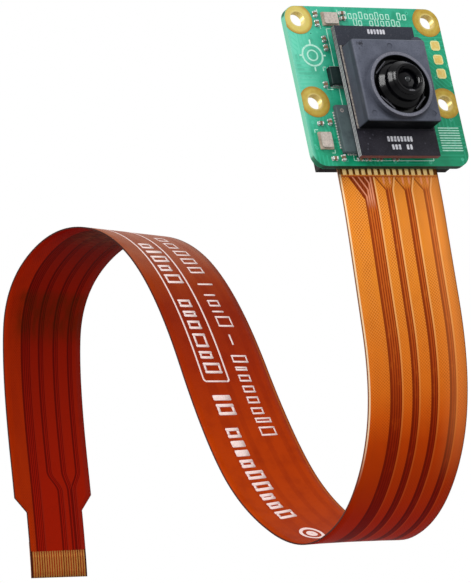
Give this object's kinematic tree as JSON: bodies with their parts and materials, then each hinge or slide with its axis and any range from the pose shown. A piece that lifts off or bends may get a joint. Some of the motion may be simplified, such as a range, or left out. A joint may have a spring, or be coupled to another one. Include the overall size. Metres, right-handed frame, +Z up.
{
  "type": "camera module",
  "caption": "Small upright circuit board with a focusing lens in a black moulded holder, four plated mounting holes and a flat film cable curving away from a slide-latch connector on the back.",
  "frame": {"origin": "centre of the four mounting holes on the board's front face", "axes": "+Z up towards the board's top edge, -Y along the lens axis away from the board, +X to the right seen from the lens side"},
  "size_m": [0.0352, 0.1035, 0.0679],
  "materials": {
    "board_green": "satin solder mask",
    "pad_gold": "satin gold plating",
    "sensor_board_black": "satin black solder mask with bare edges",
    "stack_black": "matte",
    "sensor_silicon": "polished die",
    "holder_black": "fine moulded texture",
    "filter_tint": "coated glass",
    "barrel_black": "semi-gloss moulded",
    "lens_glass": "coated glass",
    "ring_black": "matte black",
    "chip_black": "moulded epoxy",
    "lead_tin": "tinned",
    "coil_black": "ferrite resin",
    "crystal_ceramic": "ceramic",
    "crystal_metal": "satin metal",
    "capacitor_tan": "ceramic",
    "connector_ivory": "moulded",
    "latch_dark": "moulded",
    "contact_gold": "gold plated",
    "film_amber": "polyimide film over copper"
  },
  "bodies": {
    "board": {"circuit_board": "board_green", "plated_holes": "pad_gold", "test_pads": "pad_gold", "sensor_board": "sensor_board_black", "stack_socket": "stack_black", "stack_plug": "stack_black", "image_sensor": "sensor_silicon", "lens_holder": "holder_black", "filter_glass": "filter_tint", "controller_chip": "chip_black", "controller_leads": "lead_tin", "power_inductor": "coil_black", "inductor_ends": "lead_tin", "crystal_bases": "crystal_ceramic", "crystal_lids": "crystal_metal", "front_capacitors": "capacitor_tan", "front_capacitor_ends": "lead_tin", "back_capacitors": "capacitor_tan", "back_capacitor_ends": "lead_tin", "memory_chip": "chip_black", "memory_leads": "lead_tin", "regulator_chip": "chip_black", "regulator_leads": "lead_tin", "connector_housing": "connector_ivory", "connector_contacts": "contact_gold", "connector_tabs": "lead_tin", "flex_cable": "film_amber", "cable_wide_fingers": "contact_gold", "cable_narrow_fingers": "contact_gold", "wide_stiffener": "film_amber", "narrow_stiffener": "film_amber"},
    "focus_barrel": {"lens_barrel": "barrel_black", "front_lens": "lens_glass", "lens_spacer": "ring_black", "middle_lens": "lens_glass", "aperture_stop": "ring_black", "rear_lens": "lens_glass", "lens_retainer": "ring_black"},
    "latch": {"connector_latch": "latch_dark"}
  },
  "joints": [
    {"name": "focus_turn", "type": "hinge", "parent": "board", "child": "focus_barrel", "pos_m": [0, -0.0055, -0.00615], "axis": [0, -1, 0], "range_deg": [-60, 60]},
    {"name": "latch_slide", "type": "slide", "parent": "board", "child": "latch", "axis": [0, 0, -1], "range_m": [0, 0.001]}
  ]
}
